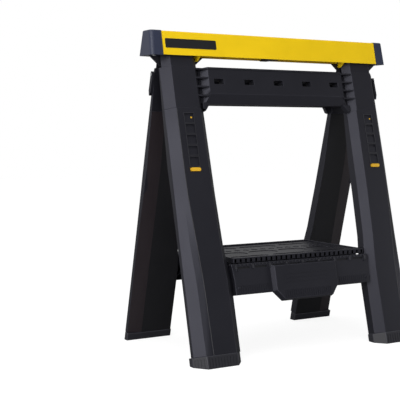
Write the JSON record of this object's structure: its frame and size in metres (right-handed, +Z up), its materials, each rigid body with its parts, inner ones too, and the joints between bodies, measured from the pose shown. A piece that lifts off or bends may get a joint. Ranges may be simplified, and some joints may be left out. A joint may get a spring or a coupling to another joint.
{
  "type": "folding sawhorse",
  "caption": "Folding workshop trestle with a flat top beam, telescoping splayed legs, strap slots and a lift-up tray between the legs.",
  "frame": {"origin": "on the floor, midway between the four feet, under the middle of the beam", "axes": "+X along the beam to the right, -Y towards the front cross piece, +Z up"},
  "size_m": [0.68, 0.3964, 0.7395],
  "materials": {
    "black_plastic": "satin, finely textured moulding",
    "yellow_steel": "semi-gloss powder coat",
    "grey_plastic": "satin",
    "label_film": "smooth, blank",
    "foot_rubber": "ribbed, matt",
    "zinc_steel": "zinc plated",
    "amber_plastic": "satin"
  },
  "bodies": {
    "beam": {"top_beam": "yellow_steel", "end_cap_left": "grey_plastic", "end_cap_right": "grey_plastic", "label_plate": "label_film", "beam_clip": "black_plastic", "cap_screws": "zinc_steel", "hinge_bracket_left": "yellow_steel", "hinge_bracket_right": "yellow_steel", "gusset_left": "black_plastic", "gusset_right": "black_plastic", "hinge_pins": "zinc_steel"},
    "front_inner_legs": {"inner_leg_front_left": "black_plastic", "inner_leg_front_right": "black_plastic"},
    "front_frame": {"front_upper_frame": "black_plastic", "front_apron": "black_plastic", "front_height_marks": "amber_plastic", "front_apron_screws": "black_plastic", "front_latch_stud": "zinc_steel", "lower_leg_front_left": "black_plastic", "foot_front_left": "foot_rubber", "lock_cup_front_left": "zinc_steel", "lower_leg_front_right": "black_plastic", "foot_front_right": "foot_rubber", "lock_cup_front_right": "zinc_steel"},
    "rear_inner_legs": {"inner_leg_rear_left": "black_plastic", "inner_leg_rear_right": "black_plastic"},
    "rear_frame": {"rear_upper_frame": "black_plastic", "rear_apron": "black_plastic", "rear_height_marks": "amber_plastic", "rear_apron_screws": "black_plastic", "rear_latch_stud": "zinc_steel", "lower_leg_rear_left": "black_plastic", "foot_rear_left": "foot_rubber", "lock_cup_rear_left": "zinc_steel", "lower_leg_rear_right": "black_plastic", "foot_rear_right": "foot_rubber", "lock_cup_rear_right": "zinc_steel", "tray_hinge_ears": "black_plastic", "tray_hinge_pins": "zinc_steel"},
    "tray": {"tray": "black_plastic"},
    "button_front_left": {"height_button_front_left": "amber_plastic", "button_spring_front_left": "zinc_steel"},
    "button_front_right": {"height_button_front_right": "amber_plastic", "button_spring_front_right": "zinc_steel"},
    "button_rear_left": {"height_button_rear_left": "amber_plastic", "button_spring_rear_left": "zinc_steel"},
    "button_rear_right": {"height_button_rear_right": "amber_plastic", "button_spring_rear_right": "zinc_steel"},
    "front_latch": {"front_latch": "black_plastic"},
    "rear_latch": {"rear_latch": "black_plastic"}
  },
  "joints": [
    {"name": "front_fold", "type": "hinge", "parent": "beam", "child": "front_inner_legs", "pos_m": [0, -0.0195, 0.7], "axis": [1, 0, 0], "range_deg": [0, 10]},
    {"name": "rear_fold", "type": "hinge", "parent": "beam", "child": "rear_inner_legs", "pos_m": [0, 0.0195, 0.7], "axis": [-1, 0, 0], "range_deg": [0, 10]},
    {"name": "front_height", "type": "slide", "parent": "front_inner_legs", "child": "front_frame", "axis": [0, -0.2419, -0.9703], "range_m": [0, 0.126]},
    {"name": "rear_height", "type": "slide", "parent": "rear_inner_legs", "child": "rear_frame", "axis": [0, 0.2419, -0.9703], "range_m": [0, 0.126]},
    {"name": "tray_lift", "type": "hinge", "parent": "rear_frame", "child": "tray", "pos_m": [0, 0.104, 0.221], "axis": [-1, 0, 0], "range_deg": [0, 80]},
    {"name": "button_press_front_left", "type": "slide", "parent": "front_frame", "child": "button_front_left", "axis": [0, 0.9703, -0.2419], "range_m": [0, 0.0035], "stiffness_N_per_m": 400, "springref_m": -0.001},
    {"name": "button_press_front_right", "type": "slide", "parent": "front_frame", "child": "button_front_right", "axis": [0, 0.9703, -0.2419], "range_m": [0, 0.0035], "stiffness_N_per_m": 400, "springref_m": -0.001},
    {"name": "button_press_rear_left", "type": "slide", "parent": "rear_frame", "child": "button_rear_left", "axis": [0, -0.9703, -0.2419], "range_m": [0, 0.0035], "stiffness_N_per_m": 400, "springref_m": -0.001},
    {"name": "button_press_rear_right", "type": "slide", "parent": "rear_frame", "child": "button_rear_right", "axis": [0, -0.9703, -0.2419], "range_m": [0, 0.0035], "stiffness_N_per_m": 400, "springref_m": -0.001},
    {"name": "front_latch_turn", "type": "hinge", "parent": "front_frame", "child": "front_latch", "pos_m": [0.313, -0.0129, 0.6417], "axis": [1, 0, 0], "range_deg": [0, 40]},
    {"name": "rear_latch_turn", "type": "hinge", "parent": "rear_frame", "child": "rear_latch", "pos_m": [-0.313, 0.0129, 0.6417], "axis": [-1, 0, 0], "range_deg": [0, 40]}
  ],
  "couplings": [
    {"joint": "rear_fold", "follows": "front_fold", "ratio": 1},
    {"joint": "tray_lift", "follows": "front_fold", "ratio": 8},
    {"joint": "rear_height", "follows": "front_height", "ratio": 1}
  ]
}
